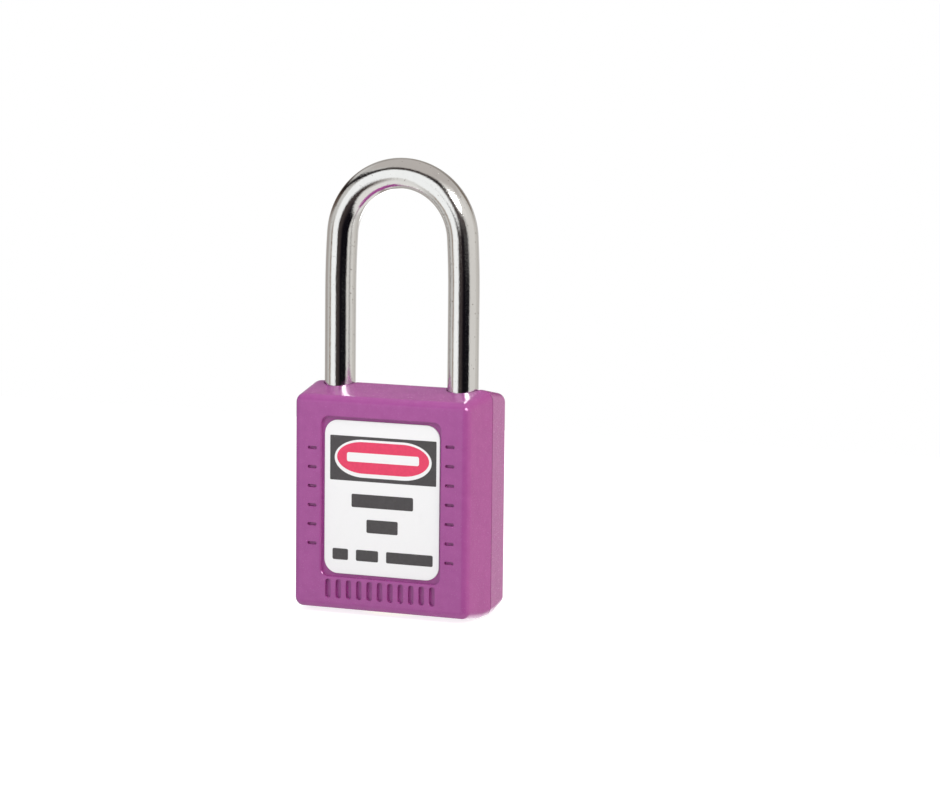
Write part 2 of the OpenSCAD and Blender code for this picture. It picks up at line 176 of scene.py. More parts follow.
def card(behind, left, right_edge, low, high, colour, soft, lean=0.0, tilt=0.0):
    """Paints a card over what is behind it. Lean shifts its sides for each degree above its middle,
    and tilt shifts its top and foot for each degree to the right of its middle."""
    lean_zero, tilt_zero = lean * (low + high) / 2, tilt * (left + right_edge) / 2
    across = maths(room, "MULTIPLY_ADD", elevation, -lean, azimuth)
    upright = maths(room, "MULTIPLY_ADD", azimuth, -tilt, elevation)
    inside = maths(room, "MULTIPLY",
                   between(across, left - lean_zero, right_edge - lean_zero, soft),
                   between(upright, low - tilt_zero, high - tilt_zero, soft))
    return tinted(room, inside, behind or colour, colour)


def shown(red, green, blue):
    """The light that the plating gives back as this picture colour, 0 to 255."""
    linear = [((c / 255 + 0.055) / 1.055) ** 2.4 for c in (red, green, blue)]
    return tuple(c / PLATING_GIVES_BACK for c in linear)


print("light behind a mid grey:", [round(c, 3) for c in shown(128, 128, 128)])

# %% Cards of the room: name, left, right, low, high, colour, softness, lean, tilt
CARDS = [
    ("pale room", -400, 400, -95, 95, shown(188, 186, 183), 1),
    ("white table", -400, 400, -95, -40, shown(219, 217, 214), 5),
    ("shade behind, left", -400, -148, 18, 46, shown(154, 149, 144), 6),
    ("shade behind, right", 138, 400, 16, 46, shown(146, 140, 134), 6),
    ("pale wall behind, left", -400, -152, -28, 14, shown(198, 196, 193), 6),
    ("pale wall behind, right", 141, 400, -30, 12, shown(200, 197, 194), 5),
    ("table behind, left", -400, -128, -62, -24, shown(166, 161, 158), 8),
    ("table behind, right", 158, 400, -95, -42, shown(150, 140, 138), 8),
    ("far right wall", 118, 139, -45, 12, shown(170, 166, 162), 6),
    ("right wall, far end", 92, 128, -32, 42, shown(190, 186, 181), 6),
    ("right wall", 46, 101, -32, 42, shown(204, 201, 197), 6),
    ("left wall", -150, -108, -38, 12, shown(160, 154, 150), 9),
    ("lit table behind, left", -400, -168, -34, -10, (1.4, 1.4, 1.4), 6),
    ("lit table behind, right", 139, 400, -38, -17, (2.2, 2.2, 2.2), 3),
    ("ceiling", -400, 400, 43, 95, shown(177, 171, 167), 4),
    ("shade high on the right wall", 123, 152, 12, 37, shown(116, 105, 96), 7),
    ("dark corner behind, right", 160, 178, -4, 13, shown(84, 76, 70), 5),
    ("softbox skirt", -78, -30, -46, -14, shown(212, 211, 208), 5),
    ("shade on the table", -46, -22, -47, -26, shown(150, 144, 140), 6),
    ("brown wall, left", -168, -106, 5, 24, shown(92, 80, 73), 4, 0, 0.2),
    ("softbox", -74, -16.5, -26, 28.5, shown(237, 238, 238), 2, 0, 0.27),
    ("softbox frame, side", -87, -78.5, -30, 1, shown(132, 115, 102), 1.2),
    ("softbox frame, far left", -150, -104, 16, 26, shown(36, 30, 29), 3, 0, 0.24),
    ("softbox frame, left", -114, -58, 25, 37, shown(20, 17, 20), 3),
    ("softbox frame, top", -64, 4, 33, 48, shown(46, 36, 34), 4, 0, 0.17),
    ("gap beside the softbox", -15, 6, 14, 36, shown(74, 65, 62), 3),
    ("dark gap beside the lamp", -24, 7, 34, 48, shown(38, 34, 34), 3.5, 0.9),
    ("glow of the lamp", 4, 66, 20, 56, shown(214, 211, 207), 7),
    ("dark cloth, top", -11, 33, 8, 20, shown(70, 62, 61), 4),
    ("dark cloth, upper", -12, 36, 0, 9, shown(40, 35, 36), 3),
    ("dark studio, left", -36.5, 8, -37.5, 2, shown(60, 53, 52), 1.2),
    ("dark studio, middle", -12, 10, -38, 1, shown(40, 34, 36), 3),
    ("dark studio", -1, 47.5, -39, 0, shown(12, 10, 15), 2.8, -0.3),
    ("lamp rim", 11, 38, 28.5, 43.5, (4.5, 4.5, 4.5), 3, 0.9),
    ("lamp", 18, 34, 31, 40.5, (120.0, 120.0, 120.0), 4, 0.9),
]
painted = None
for name, *numbers in CARDS:
    painted = card(painted, *numbers)
print("cards:", [c[0] for c in CARDS])

# %% Smooth light for matt surfaces, white for the camera, the room for the rest
FROM_LEFT, FROM_RIGHT = (0.78, 0.84, 0.87), (1.74, 1.43, 1.31)
LEVEL_STRENGTH, STRONGER_UPWARDS = 0.915, 0.53

sides = add(room, "ShaderNodeSeparateXYZ", {"Vector": direction}).outputs
side_light = tinted(room, step(room, sides["X"], 0.0, 1.0), FROM_LEFT, FROM_RIGHT)
strength = maths(room, "MULTIPLY_ADD", sides["Z"], STRONGER_UPWARDS, LEVEL_STRENGTH)
smooth = add(room, "ShaderNodeBackground", {"Color": side_light, "Strength": strength}).outputs[0]
lit = add(room, "ShaderNodeBackground", {"Color": painted, "Strength": 1.0}).outputs[0]
plain = add(room, "ShaderNodeBackground", {"Color": (1, 1, 1, 1), "Strength": 1.0}).outputs[0]
path = add(room, "ShaderNodeLightPath").outputs
for_matt = add(room, "ShaderNodeMixShader", {0: path["Is Diffuse Ray"], 1: lit, 2: smooth}).outputs[0]
for_all = add(room, "ShaderNodeMixShader", {0: path["Is Camera Ray"], 1: for_matt, 2: plain})
add(room, "ShaderNodeOutputWorld", {"Surface": for_all.outputs[0]})
print("nodes of the world:", len(room.nodes))

# %% A small lamp above the front, which makes the upper edge of the body a little paler
LAMP_PLACE, LAMP_SIDE, LAMP_POWER = Vector((0.002, -0.036, 0.082)), 0.030, 0.0072
lamp_light = bpy.data.lights.new("near_lamp", "AREA")
lamp_light.size, lamp_light.energy = LAMP_SIDE, LAMP_POWER
lamp = bpy.data.objects.new("near_lamp", lamp_light)
bpy.context.collection.objects.link(lamp)
lamp.location = LAMP_PLACE
lamp.rotation_mode = "QUATERNION"
lamp.rotation_quaternion = (LAMP_PLACE - LOOK_AT).to_track_quat("Z", "Y")
lamp.visible_glossy = lamp.visible_camera = False
print("lamp at", [round(c, 3) for c in lamp.location])

# %% [markdown]
# ## Floor
# The padlock stands on a small white table that glows, which is why the padlock's lower edges are
# pale in the picture. A plain floor would need stronger lamps to look white, and they would bleach
# the padlock too. For the camera the floor glows a little more, so that it is as white as the
# background while it still shows the shadow. Reflections pass through it, because the plating shows
# the table that is already painted on the world, and from below one can look through it at the foot
# of the padlock.

# %% Finish of the floor
FLOOR_GREY = (0.45, 0.45, 0.45, 1)
FLOOR_GLOW, MORE_FOR_THE_CAMERA = 0.5, 0.3


def new_material(name):
    """A new material with an empty tree; returns the material, its tree and its output node."""
    material = bpy.data.materials.new(name)
    material.use_nodes = True
    tree = material.node_tree
    tree.nodes.clear()
    return material, tree, add(tree, "ShaderNodeOutputMaterial")


floor_paint, tree, output = new_material("white_floor")
rays = add(tree, "ShaderNodeLightPath").outputs
matt = add(tree, "ShaderNodeBsdfDiffuse", {"Color": FLOOR_GREY}).outputs[0]
lift = maths(tree, "MULTIPLY_ADD", rays["Is Camera Ray"], MORE_FOR_THE_CAMERA, FLOOR_GLOW)
glow = add(tree, "ShaderNodeEmission", {"Color": (1, 1, 1, 1), "Strength": lift}).outputs[0]
both = add(tree, "ShaderNodeAddShader", {0: matt, 1: glow}).outputs[0]
clear = add(tree, "ShaderNodeBsdfTransparent").outputs[0]
from_below = add(tree, "ShaderNodeNewGeometry").outputs["Backfacing"]
unseen = maths(tree, "MAXIMUM", rays["Is Glossy Ray"], from_below)
either = add(tree, "ShaderNodeMixShader", {0: unseen, 1: both, 2: clear}).outputs[0]
tree.links.new(either, output.inputs["Surface"])
print("material:", floor_paint.name)

# %% Floor
FLOOR_SIZE, FLOOR_GAP = 0.5, 0.05


def make_object(name, bm):
    """Makes a mesh object from a bmesh and frees the bmesh."""
    mesh = bpy.data.meshes.new(name)
    bm.to_mesh(mesh)
    bm.free()
    made = bpy.data.objects.new(name, mesh)
    bpy.context.collection.objects.link(made)
    return made


floor_bm = bmesh.new()
bmesh.ops.create_grid(floor_bm, x_segments=1, y_segments=1, size=FLOOR_SIZE / 2,
                      matrix=Matrix.Translation((0, 0, -FLOOR_GAP * MM)))
floor = make_object("floor", floor_bm)
floor.data.materials.append(floor_paint)
print("floor side in mm:", FLOOR_SIZE / MM)

# %% [markdown]
# ## Plastic
# The body is glossy moulded plastic. One colour and one roughness would be simpler, but real plastic is
# never so even. A mould leaves a very fine grain and the colour varies, so two noises, one fine and one
# broad, move the roughness and the colour a little. The grain is also a faint bump, which breaks up the
# reflections as the real surface does. The line round the middle, where the mould halves met, is a
# shallow groove, and its colour is painted a little darker as painted shade in that groove.

# %% Surface patterns on object coordinates
NOISE_LOW, NOISE_HIGH = 0.3, 0.7


def pattern(tree, size, detail=3.0, roughness=0.6, stretch=(1, 1, 1)):
    """Noise on object coordinates, whose spots are about size mm across."""
    place = add(tree, "ShaderNodeTexCoord").outputs["Object"]
    scaled = add(tree, "ShaderNodeMapping", {"Vector": place, "Scale": stretch}).outputs[0]
    return add(tree, "ShaderNodeTexNoise", {"Vector": scaled, "Scale": 1 / (size * MM),
                                            "Detail": detail, "Roughness": roughness}).outputs[0]


def shift(tree, value, low, high):
    """Turns the range in which noise mostly lies into low to high."""
    return add(tree, "ShaderNodeMapRange", {"Value": value, "From Min": NOISE_LOW,
                                            "From Max": NOISE_HIGH, "To Min": low,
                                            "To Max": high}).outputs[0]


def bumps(tree, height, depth, strength):
    """A Bump node for a height pattern; depth in mm."""
    return add(tree, "ShaderNodeBump", {"Height": height, "Distance": depth * MM,
                                        "Strength": strength}).outputs[0]


print("noise lies mostly between", NOISE_LOW, "and", NOISE_HIGH)

# %% The plastic
PURPLE, PALER_PURPLE = (0.299, 0.0585, 0.245), (0.331, 0.0695, 0.269)
# Painted shade in the parting groove: a darker purple, full within the first distance of the middle in
# mm and gone at the second
GROOVE_SHADE_PURPLE, GROOVE_SHADE_FULL, GROOVE_SHADE_GONE = (0.240, 0.044, 0.192), 0.08, 0.18
CLOUDS, GRAIN = 2.4, 0.22

plastic, tree, output = new_material("moulded_plastic")
broad = pattern(tree, CLOUDS, detail=3)
grain = pattern(tree, GRAIN, detail=2)
colour = tinted(tree, shift(tree, broad, 0, 1), PURPLE, PALER_PURPLE)
place = add(tree, "ShaderNodeTexCoord").outputs["Object"]
across = add(tree, "ShaderNodeSeparateXYZ", {"Vector": place}).outputs["Y"]
# Paints the groove's shade as a darker colour round the middle of the depth
beside_groove_shade = step(tree, maths(tree, "ABSOLUTE", across), GROOVE_SHADE_FULL * MM, GROOVE_SHADE_GONE * MM)
colour = tinted(tree, beside_groove_shade, GROOVE_SHADE_PURPLE, colour)
shell = add(tree, "ShaderNodeBsdfPrincipled", {
    "Base Color": colour,
    "Roughness": shift(tree, grain, low=0.22, high=0.28),
    "Normal": bumps(tree, grain, depth=0.004, strength=0.4),
})
tree.links.new(shell.outputs[0], output.inputs["Surface"])
print("material:", plastic.name)

# %% [markdown]
# ## Body
# The real body is moulded in two mould halves, so it is widest at the ridge where they meet and leans
# in towards both flat faces. A box with a bevel has no such lean. Here rounded outlines, from front to
# back, are bridged like the ribs of a boat, and the middle one is a little smaller, which leaves the
# fine line where the halves met. That gives clean quads that follow the draft. Two helpers come with
# it: one makes an outline with round corners, and the other bevels the edges that a test picks.

# %% Outlines of the body, millimetres
RIDGE, FOOT, FACE = 0.08, 3.0, 9.8
PARTING_HALF, PARTING_DEPTH = 0.12, 0.16
RIDGE_HALF_WIDTH, FACE_HALF_WIDTH = 19.35, 18.320
RIDGE_TOP, FACE_TOP, FACE_BOTTOM = 44.4, 42.597, 0.993
RIDGE_CORNER, FOOT_CORNER, FACE_CORNER = 2.4, 1.9, 1.66
FACE_EDGE, CORNER_STEPS = 1.36, 10


def leaning(at_ridge, at_face, depth):
    """A drafted value at some depth from the ridge."""
    return at_ridge + (at_face - at_ridge) * (depth - RIDGE) / (FACE - RIDGE)


print("half width at the foot strip's edge, mm:",
      round(leaning(RIDGE_HALF_WIDTH, FACE_HALF_WIDTH, FOOT), 3))

# %% An outline with round corners, and rounded edges
FACE_STEPS = 8


def rounded_face(bm, centre, half_width, half_height, corner, steps=FACE_STEPS, low_corner=None):
    """One upright face with round corners, facing the front, in mm."""
    made = bmesh.ops.create_grid(bm, x_segments=1, y_segments=1, size=1)
    for vert in made["verts"]:
        vert.co = (Vector(centre) + Vector((half_width * vert.co.x, 0, half_height * vert.co.y))) * MM
    others = set(bm.faces) - set(made["verts"][0].link_faces)
    middle = centre[2] * MM
    upper = [v for v in made["verts"] if v.co.z > middle]
    lower = [v for v in made["verts"] if v.co.z < middle]
    for verts, radius in ((upper, corner), (lower, low_corner or corner)):
        bmesh.ops.bevel(bm, geom=verts, affect="VERTICES", offset=radius * MM,
                        offset_type="OFFSET", segments=steps, profile=0.5, material=-1,
                        clamp_overlap=True)
    return next(face for face in bm.faces if face not in others)


def near(value, target, gap=0.02):
    """Whether a measure in mm lies within the gap of its target."""
    return abs(value - target) < gap


def round_edges(bm, picks, width, segments, sharper_than=25):
    """Bevels the edges that are sharper than an angle and whose middle, in mm, the test picks."""
    limit = math.radians(sharper_than)
    chosen = [e for e in bm.edges if e.calc_face_angle(0) > limit
              and picks((e.verts[0].co + e.verts[1].co) / 2 / MM)]
    bmesh.ops.bevel(bm, geom=chosen, affect="EDGES", offset=width * MM, offset_type="OFFSET",
                    segments=segments, profile=0.5, material=-1, clamp_overlap=True,
                    loop_slide=True)
    return len(chosen)


print("steps in a round corner:", FACE_STEPS)

# %% Outlines bridged into the body
body_bm = bmesh.new()
ribs = []
for y in (-FACE, -FOOT, -PARTING_HALF, 0, PARTING_HALF, FOOT, FACE):
    depth = max(abs(y), RIDGE)
    inset = 0 if y else PARTING_DEPTH
    top = leaning(RIDGE_TOP, FACE_TOP, depth) - inset
    bottom = (0.0 if depth <= FOOT else FACE_BOTTOM) + inset
    ribs.append(rounded_face(body_bm, (0, y, (top + bottom) / 2),
                             leaning(RIDGE_HALF_WIDTH, FACE_HALF_WIDTH, depth) - inset,
                             (top - bottom) / 2, leaning(RIDGE_CORNER, FACE_CORNER, depth),
                             CORNER_STEPS, leaning(FOOT_CORNER, FACE_CORNER, depth)))
outlines = [list(rib.edges) for rib in ribs]
bmesh.ops.delete(body_bm, geom=ribs[1:-1], context="FACES_ONLY")
for one, other in zip(outlines, outlines[1:]):
    bmesh.ops.bridge_loops(body_bm, edges=one + other)
bmesh.ops.recalc_face_normals(body_bm, faces=body_bm.faces)
rounded = round_edges(body_bm, lambda p: near(abs(p.y), FACE, 0.01), FACE_EDGE, CORNER_STEPS,
                      sharper_than=40)
print("edges rounded round both faces:", rounded, "volume in mm3:",
      round(body_bm.calc_volume() / MM ** 3))

# %% [markdown]
# ## Recesses, marks and holes
# The label lies in a shallow recess on the front, and the back has the same recess left plain. Two
# columns of marks stand beside the label, with a row of grip ribs below it. A bump in the material
# could show such shallow forms, but it stays flat when seen from the side, so they are cut. The holes
# take the legs, the cylinder, the cam and the two balls. They are cut to their full depth, because the
# lifted shackle lets one look inside. The cutting is left to the exact Boolean, because the holes meet
# inside the body, and to cut such meetings by hand is slow and goes wrong easily.

# %% Cutters for recesses, marks and grip ribs
LABEL_Z = 23.0
RECESS_HALF_WIDTH, RECESS_HALF_HEIGHT = 12.6, 15.75
RECESS_CORNER, RECESS_FLOOR = 1.5, 8.9
MARK_X, MARK_PITCH, MARK_FLOOR = 14.5, 3.76, 9.2
MARK_HALF_WIDTH, MARK_HALF_HEIGHT, MARK_CORNER = 0.95, 0.3, 0.28
RIB_Z, RIB_PITCH, RIB_FLOOR = 4.9, 2.2, 9.1
RIB_HALF_WIDTH, RIB_HALF_HEIGHT, RIB_CORNER = 0.575, 1.85, 0.555
OUTSIDE = 12


def push(bm, face, travel):
    """Extrudes a face along Y by some mm and keeps the first face, which gives a closed block."""
    grown = bmesh.ops.extrude_face_region(bm, geom=[face], use_keep_orig=True)["geom"]
    moved = [g for g in grown if isinstance(g, bmesh.types.BMVert)]
    bmesh.ops.translate(bm, verts=moved, vec=Vector((0, travel, 0)) * MM)


cuts = bmesh.new()
for side in (-1, 1):
    face = rounded_face(cuts, (0, side * RECESS_FLOOR, LABEL_Z), RECESS_HALF_WIDTH,
                        RECESS_HALF_HEIGHT, RECESS_CORNER)
    push(cuts, face, side * (OUTSIDE - RECESS_FLOOR))
for x, count in ((-MARK_X, 6), (MARK_X, 7)):
    for i in range(count):
        z = LABEL_Z + (i - (count - 1) / 2) * MARK_PITCH
        face = rounded_face(cuts, (x, -MARK_FLOOR, z), MARK_HALF_WIDTH, MARK_HALF_HEIGHT,
                            MARK_CORNER)
        push(cuts, face, MARK_FLOOR - OUTSIDE)
for i in range(-5, 6):
    face = rounded_face(cuts, (i * RIB_PITCH, -RIB_FLOOR, RIB_Z), RIB_HALF_WIDTH, RIB_HALF_HEIGHT,
                        RIB_CORNER)
    push(cuts, face, RIB_FLOOR - OUTSIDE)
print("faces of the cutters:", len(cuts.faces))

# %% Turned shapes, and cutting with the exact Boolean
SIDES, LATHE_GAP = 96, 0.0005
MERGE_GAP, FLAT_ANGLE = 0.002, 0.2


def lathe(bm, x, profile, steps=SIDES):
    """Spins a profile of (radius, z) points in mm round an upright axis at x."""
    rings = [bm.verts.new(Vector((x + radius, 0, z)) * MM) for radius, z in profile]
    line = [bm.edges.new(pair) for pair in zip(rings, rings[1:])]
    bmesh.ops.spin(bm, geom=rings + line, cent=Vector((x, 0, 0)) * MM, axis=(0, 0, 1),
                   angle=math.tau, steps=steps, use_merge=True)
    bmesh.ops.remove_doubles(bm, verts=bm.verts, dist=LATHE_GAP * MM)


def cut(body_bm, cutter_bm):
    """Takes the cutter's shape out of the body's, and returns the new bmesh."""
    body, cutter = make_object("being_cut", body_bm), make_object("cutter", cutter_bm)
    boolean = body.modifiers.new("cut", "BOOLEAN")
    boolean.operation, boolean.solver, boolean.object = "DIFFERENCE", "EXACT", cutter
    evaluated = body.evaluated_get(bpy.context.evaluated_depsgraph_get())
    result = bmesh.new()
    result.from_mesh(evaluated.to_mesh())
    evaluated.to_mesh_clear()
    for used in (body, cutter):
        mesh = used.data
        bpy.data.objects.remove(used)
        bpy.data.meshes.remove(mesh)
    bmesh.ops.remove_doubles(result, verts=result.verts, dist=MERGE_GAP * MM)
    bmesh.ops.dissolve_limit(result, angle_limit=math.radians(FLAT_ANGLE), verts=result.verts,
                             edges=result.edges)
    return result


print("sides of a round shape:", SIDES, "points closer than this are merged, in mm:", MERGE_GAP)

# %% Holes for the legs, each with a rounded lip
LEG_X, LEG_HOLE, LIP = 13.05, 3.19, 0.5
LEFT_FLOOR, RIGHT_FLOOR = 14.63, 30.4
HOLE_CUTTER_TOP = 50

lip = [(LEG_HOLE + LIP * (1 - math.cos(turn)), RIDGE_TOP - LIP * (1 - math.sin(turn)))
       for turn in (math.radians(a) for a in range(0, 91, 10))]
for x, floor_z in ((-LEG_X, LEFT_FLOOR), (LEG_X, RIGHT_FLOOR)):
    lathe(cuts, x, [(0, floor_z), (LEG_HOLE, floor_z)] + lip
          + [(LEG_HOLE + LIP, HOLE_CUTTER_TOP), (0, HOLE_CUTTER_TOP)])
bmesh.ops.recalc_face_normals(cuts, faces=cuts.faces)
body_bm = cut(body_bm, cuts)
print("faces of the body:", len(body_bm.faces))


# %% A rod and a block
def rod(radius, start, end, steps=SIDES):
    """A new round bar from one point to another, in mm."""
    bm = bmesh.new()
    a, b = Vector(start) * MM, Vector(end) * MM
    turn = (b - a).to_track_quat("Z", "Y").to_matrix().to_4x4()
    bmesh.ops.create_cone(bm, cap_ends=True, segments=steps, radius1=radius * MM,
                          radius2=radius * MM, depth=(b - a).length,
                          matrix=Matrix.Translation((a + b) / 2) @ turn)
    return bm


def block(middle, size):
    """A new box, in mm."""
    bm = bmesh.new()
    bmesh.ops.create_cube(bm, size=MM, matrix=Matrix.Translation(Vector(middle) * MM)
                          @ Matrix.Diagonal((*size, 1)))
    return bm


print("faces of a rod:", SIDES + 2)

# %% Rooms inside the body, for the cylinder with its pins, the cam, the balls and the screw
BARREL, BARREL_TOP = 7.1, 23.97
PIN_ROOM_MIDDLE, PIN_ROOM_SIZE = (7.65, 0, 11.485), (15.3, 6.6, 24.97)
CAM_ROOM, CAM_ROOM_FOOT, CAM_ROOM_TOP = 6.4, 20, 38.8
BALL_WAY, BALL_Z = 2.66, 35.4
SCREW_SEAT, SEAT_FOOT, SEAT_TOP = 2.54, 29.16, 31
SCREW_HOLE, SCREW_FOOT, SCREW_TOP = 1.44, 22.8, 30

for room_shape in (rod(BARREL, (0, 0, -1), (0, 0, BARREL_TOP)),
                   block(PIN_ROOM_MIDDLE, PIN_ROOM_SIZE),
                   rod(CAM_ROOM, (0, 0, CAM_ROOM_FOOT), (0, 0, CAM_ROOM_TOP)),
                   rod(BALL_WAY, (-LEG_X, 0, BALL_Z), (LEG_X, 0, BALL_Z), steps=64),
                   rod(SCREW_SEAT, (LEG_X, 0, SEAT_FOOT), (LEG_X, 0, SEAT_TOP), steps=64),
                   rod(SCREW_HOLE, (LEG_X, 0, SCREW_FOOT), (LEG_X, 0, SCREW_TOP), steps=48)):
    body_bm = cut(body_bm, room_shape)
print("body volume in mm3:", round(body_bm.calc_volume() / MM ** 3))

# %% [markdown]
# ## Rims
# No moulded edge is quite sharp, so each rim catches a fine line of light. A Bevel modifier could round
# all of them by one width, but lips, recesses and marks each have their own, so each kind is picked by
# its place. The body is then shaded smooth between the edges that stay sharp, and rides on its body of
# the frame.

# %% The last step of every piece, and the angles from which an edge stays sharp
MOULDED_SHARP, WIRE_SHARP, PRINT_SHARP = 11, 30, 40


def finish_piece(piece, material, body, slot_name, sharper_than, *nodes):
    """Smooth shading, a material, and the piece's place in the frame."""
    bm = bmesh.new()
    bm.from_mesh(piece.data)
    for face in bm.faces:
        face.smooth = True
    for edge in bm.edges:
        edge.smooth = edge.calc_face_angle(0) < math.radians(sharper_than)
    bm.to_mesh(piece.data)
    bm.free()
    even = piece.modifiers.new("even_normals", "WEIGHTED_NORMAL")
    even.keep_sharp = True
    piece.data.materials.clear()
    piece.data.materials.append(material)
    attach(piece, body)
    if nodes:
        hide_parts(*nodes)
    print(piece.name, "faces:", len(piece.data.polygons))


# %% Round the lips and the rims
LIP_EDGE, RIM_EDGE, MARK_EDGE, FLOOR_EDGE, FOOT_EDGE = 0.08, 0.22, 0.08, 0.15, 0.2
LIPS_ABOVE, FOOT_BELOW = 40, 0.9


def at_lip(p):
    """On the rim of a leg's hole, near the top."""
    return p.z > LIPS_ABOVE and near(math.hypot(abs(p.x) - LEG_X, p.y), LEG_HOLE, 0.05)


def at_recess_rim(p):
    """Where a recess meets the front or the back face."""
    return (near(abs(p.y), FACE) and near(p.x, 0, RECESS_HALF_WIDTH + 0.1)
            and near(p.z, LABEL_Z, RECESS_HALF_HEIGHT + 0.25))


def at_recess_floor(p):
    """Where a recess's wall meets its floor."""
    return near(abs(p.y), RECESS_FLOOR) and near(p.x, 0, RECESS_HALF_WIDTH + 0.1)


lips = round_edges(body_bm, at_lip, LIP_EDGE, segments=2, sharper_than=35)
rims = round_edges(body_bm, at_recess_rim, RIM_EDGE, segments=3)
marks = round_edges(body_bm, lambda p: near(p.y, -FACE), MARK_EDGE, segments=2)
floors = round_edges(body_bm, at_recess_floor, FLOOR_EDGE, segments=2)
mouth = round_edges(body_bm, lambda p: p.z < FOOT_BELOW and not near(p.y, 0, PARTING_HALF + 0.02),
                    FOOT_EDGE, segments=2, sharper_than=50)
print("rounded edges:", lips, rims, marks, floors, mouth)
body = make_object("padlock_body", body_bm)
finish_piece(body, plastic, "lock_body", "body_plastic", MOULDED_SHARP, "body_shell")

# %% [markdown]
# ## Label
# The label is a thin white film that lies on the floor of the recess. Its printing is kept as fields
# of colour: a dark band, a red oval with a white outline, and plain bars. A picture on the film could
# carry them, but each field is its own thin piece of ink here, a fiftieth of a millimetre thick, so it
# stays sharp at any distance.

# %% Film and inks
WHITE, DARK, RED = (0.815, 0.82, 0.825), (0.060, 0.055, 0.058), (0.75, 0.042, 0.122)


def ink(name, colour, roughness, mottle_share):
    """Printing ink: nearly even, with the slight mottle of a screen print."""
    material, tree, output = new_material(name)
    mottle = pattern(tree, 0.5, detail=2)
    darker = tuple(c * (1 - mottle_share) for c in colour)
    surface = add(tree, "ShaderNodeBsdfPrincipled", {
        "Base Color": tinted(tree, shift(tree, mottle, 0, 1), colour, darker),
        "Roughness": shift(tree, mottle, roughness - 0.04, roughness + 0.04),
        "Normal": bumps(tree, mottle, depth=0.002, strength=0.15),
    })
    tree.links.new(surface.outputs[0], output.inputs["Surface"])
    return material


film = ink("white_film", WHITE, 0.38, 0.01)
dark_ink = ink("dark_ink", DARK, 0.42, 0.15)
red_ink = ink("red_ink", RED, 0.40, 0.10)
print("materials:", film.name, dark_ink.name, red_ink.name)

# %% The film
FILM_X, FILM_FRONT, FILM_THICKNESS = 0.06, -9.2, 0.3
FILM_HALF_WIDTH, FILM_HALF_HEIGHT, FILM_CORNER, FILM_EDGE = 12.12, 15.08, 2.8, 0.06

film_bm = bmesh.new()
face = rounded_face(film_bm, (FILM_X, FILM_FRONT, LABEL_Z), FILM_HALF_WIDTH, FILM_HALF_HEIGHT,
                    FILM_CORNER, steps=12)
push(film_bm, face, FILM_THICKNESS)
bmesh.ops.recalc_face_normals(film_bm, faces=film_bm.faces)
round_edges(film_bm, lambda p: near(p.y, FILM_FRONT, 0.01), FILM_EDGE, segments=2)
label = make_object("label_film", film_bm)
finish_piece(label, film, "lock_body", "label_film", PRINT_SHARP, "front_label")

# %% Printed fields, each with its middle, half sizes and corner in mm
INK, PRINT_X = 0.02, 0.3


def printed(name, material, x, z, half_width, half_height, corner, layer=1, steps=6):
    """A flat field of ink on the film; a higher layer lies on top of a lower one."""
    bm = bmesh.new()
    face = rounded_face(bm, (x, FILM_FRONT - layer * INK, z), half_width, half_height, corner, steps)
    push(bm, face, layer * INK)
    bmesh.ops.recalc_face_normals(bm, faces=bm.faces)
    finish_piece(make_object(name, bm), material, "lock_body", "label_film", PRINT_SHARP)


def oval(name, material, z, half_width, half_height, straight, layer):
    """A field like an oval with a straight top and foot; straight is half their length."""
    bm = bmesh.new()
    bmesh.ops.create_circle(bm, cap_ends=True, segments=SIDES, radius=1)
    for vert in bm.verts:
        x = math.copysign(straight, vert.co.x) + (half_width - straight) * vert.co.x
        vert.co = Vector((PRINT_X + x, FILM_FRONT - layer * INK, z + half_height * vert.co.y)) * MM
    push(bm, bm.faces[:][0], layer * INK)
    bmesh.ops.recalc_face_normals(bm, faces=bm.faces)
    finish_piece(make_object(name, bm), material, "lock_body", "label_film", PRINT_SHARP)


printed("label_band", dark_ink, PRINT_X, 30.7, 11.2, 4.38, 0.2)
oval("label_oval_edge", film, 30.78, 10.22, 3.71, 4.15, 2)
oval("label_oval", red_ink, 30.95, 9.7, 3.09, 4.1, 3)
printed("label_bar_oval", film, PRINT_X, 31.0, 7.6, 0.9, 0.4, 4)
printed("label_bar_1", dark_ink, 0.2, 22.5, 6.5, 1.3, 0.3)
printed("label_bar_2", dark_ink, 0.2, 17.6, 3.3, 1.3, 0.3)
for i, (start, end) in enumerate(((-10.3, -7.0), (-5.3, -0.6), (1.1, 10.9))):
    printed(f"label_bar_{i + 3}", dark_ink, (start + end) / 2, 11.75, (end - start) / 2, 1.1, 0.3)

# %% [markdown]
# ## Shackle
# The shackle is one bent and plated steel wire. The plating is almost a mirror. It could be a plain
# mirror, but then the stripes of the room would have edges like a drawing's. A slow noise moves its
# colour and its sharpness, a fine one ripples it, and where a third one peaks it has a small dark pit.

# %% Plating
PLATE, DULLER_PLATE, PIT = (0.86, 0.86, 0.85), (0.82, 0.82, 0.81), (0.36, 0.32, 0.30)
PIT_FROM, PIT_FULL = 0.70, 0.78

plating, tree, output = new_material("bright_plating")
speckle = pattern(tree, 0.35, detail=4, roughness=0.7)
haze = pattern(tree, 3.0, detail=2, stretch=(1, 1, 0.25))
pits = step(tree, pattern(tree, 0.5, detail=1), PIT_FROM, PIT_FULL)
bright = tinted(tree, shift(tree, haze, 0, 1), PLATE, DULLER_PLATE)
surface = add(tree, "ShaderNodeBsdfPrincipled", {
    "Base Color": tinted(tree, pits, bright, PIT),
    "Metallic": 1.0,
    "Roughness": shift(tree, haze, low=0.035, high=0.07),
    "Normal": bumps(tree, speckle, depth=0.018, strength=1.0),
})
tree.links.new(surface.outputs[0], output.inputs["Surface"])
print("material:", plating.name)

